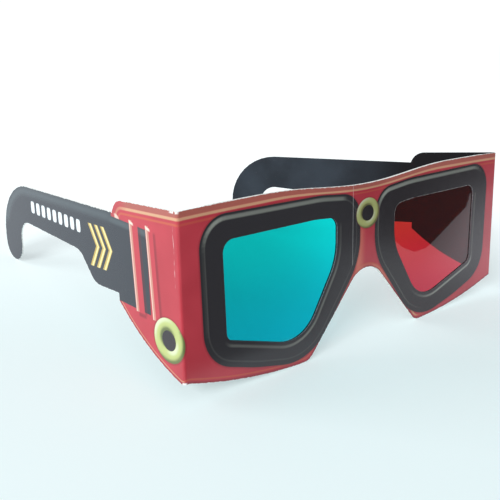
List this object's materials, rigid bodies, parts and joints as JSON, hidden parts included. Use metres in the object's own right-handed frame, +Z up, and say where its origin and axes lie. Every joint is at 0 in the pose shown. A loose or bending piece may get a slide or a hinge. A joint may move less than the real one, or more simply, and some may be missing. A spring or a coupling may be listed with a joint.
{
  "type": "3d glasses",
  "caption": "Folded card viewing glasses with a cyan and a red film window, a nose arch and side temples with ear hooks that fold at creases.",
  "frame": {"origin": "middle of the footprint, on the table that the glasses stand on", "axes": "+X across the face towards the wearer's left, +Y from the face back along the temples, +Z up from the table"},
  "size_m": [0.14, 0.105, 0.0506],
  "materials": {
    "printed_red": "satin",
    "printed_black": "satin",
    "inside_black": "matte",
    "glue": "matte",
    "cyan_film": "gloss",
    "red_film": "gloss"
  },
  "bodies": {
    "face": {"front_panel": "printed_red", "back_panel": "inside_black", "face_glue": "glue", "right_lens": "cyan_film", "left_lens": "red_film", "right_crease": "printed_red", "left_crease": "printed_red"},
    "right_arm": {"right_temple": "printed_black"},
    "left_arm": {"left_temple": "printed_black"}
  },
  "joints": [
    {"name": "right_fold", "type": "hinge", "parent": "face", "child": "right_arm", "pos_m": [-0.06965, -0.04565, 0.02822], "axis": [0, -0.225, -0.9744], "range_deg": [-88, 85.5], "deforming": ["right_crease"]},
    {"name": "left_fold", "type": "hinge", "parent": "face", "child": "left_arm", "pos_m": [0.06965, -0.04565, 0.02822], "axis": [0, 0.225, 0.9744], "range_deg": [-118, 47], "deforming": ["left_crease"]}
  ]
}
